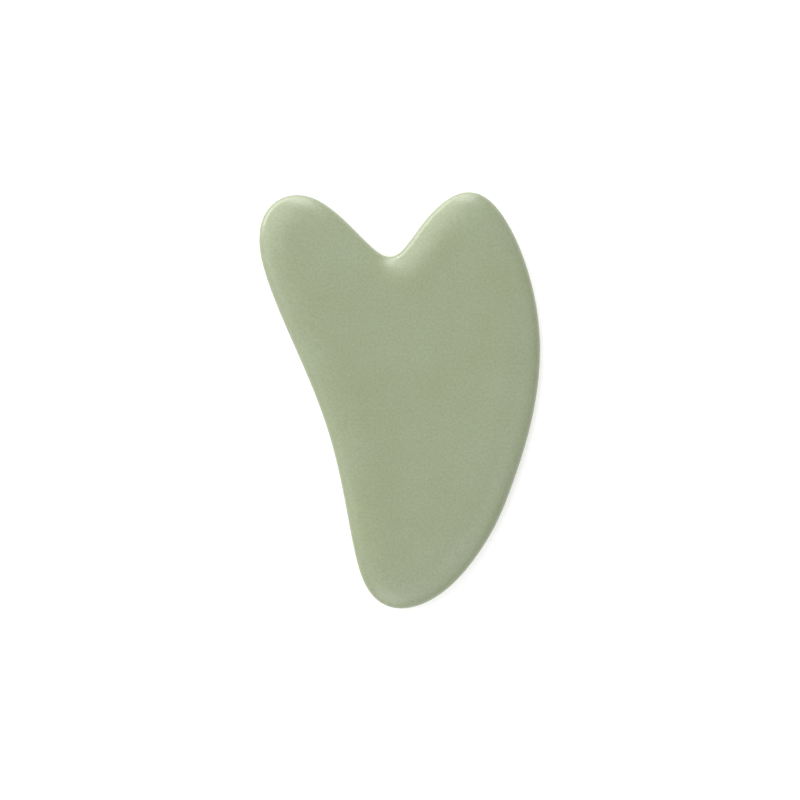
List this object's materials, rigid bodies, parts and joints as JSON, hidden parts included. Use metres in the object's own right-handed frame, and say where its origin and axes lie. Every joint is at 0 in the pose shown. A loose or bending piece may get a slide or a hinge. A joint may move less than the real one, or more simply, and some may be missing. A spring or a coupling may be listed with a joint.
{
  "type": "gua sha scraper",
  "caption": "Flat, lopsided heart of polished stone with a notch between its lobes, a tapering tail and a rounded edge, drawn over the skin to massage it.",
  "frame": {"origin": "centre of the outline's box, on the lower flat face that the stone rests on", "axes": "+Z through the thickness, up out of the upper flat face; +Y along the length, from the tail towards the lobes; +X across the width, towards the larger lobe"},
  "size_m": [0.054, 0.08, 0.005],
  "materials": {
    "stone": "satin"
  },
  "bodies": {
    "root": {"scraper_stone": "stone"}
  },
  "joints": []
}
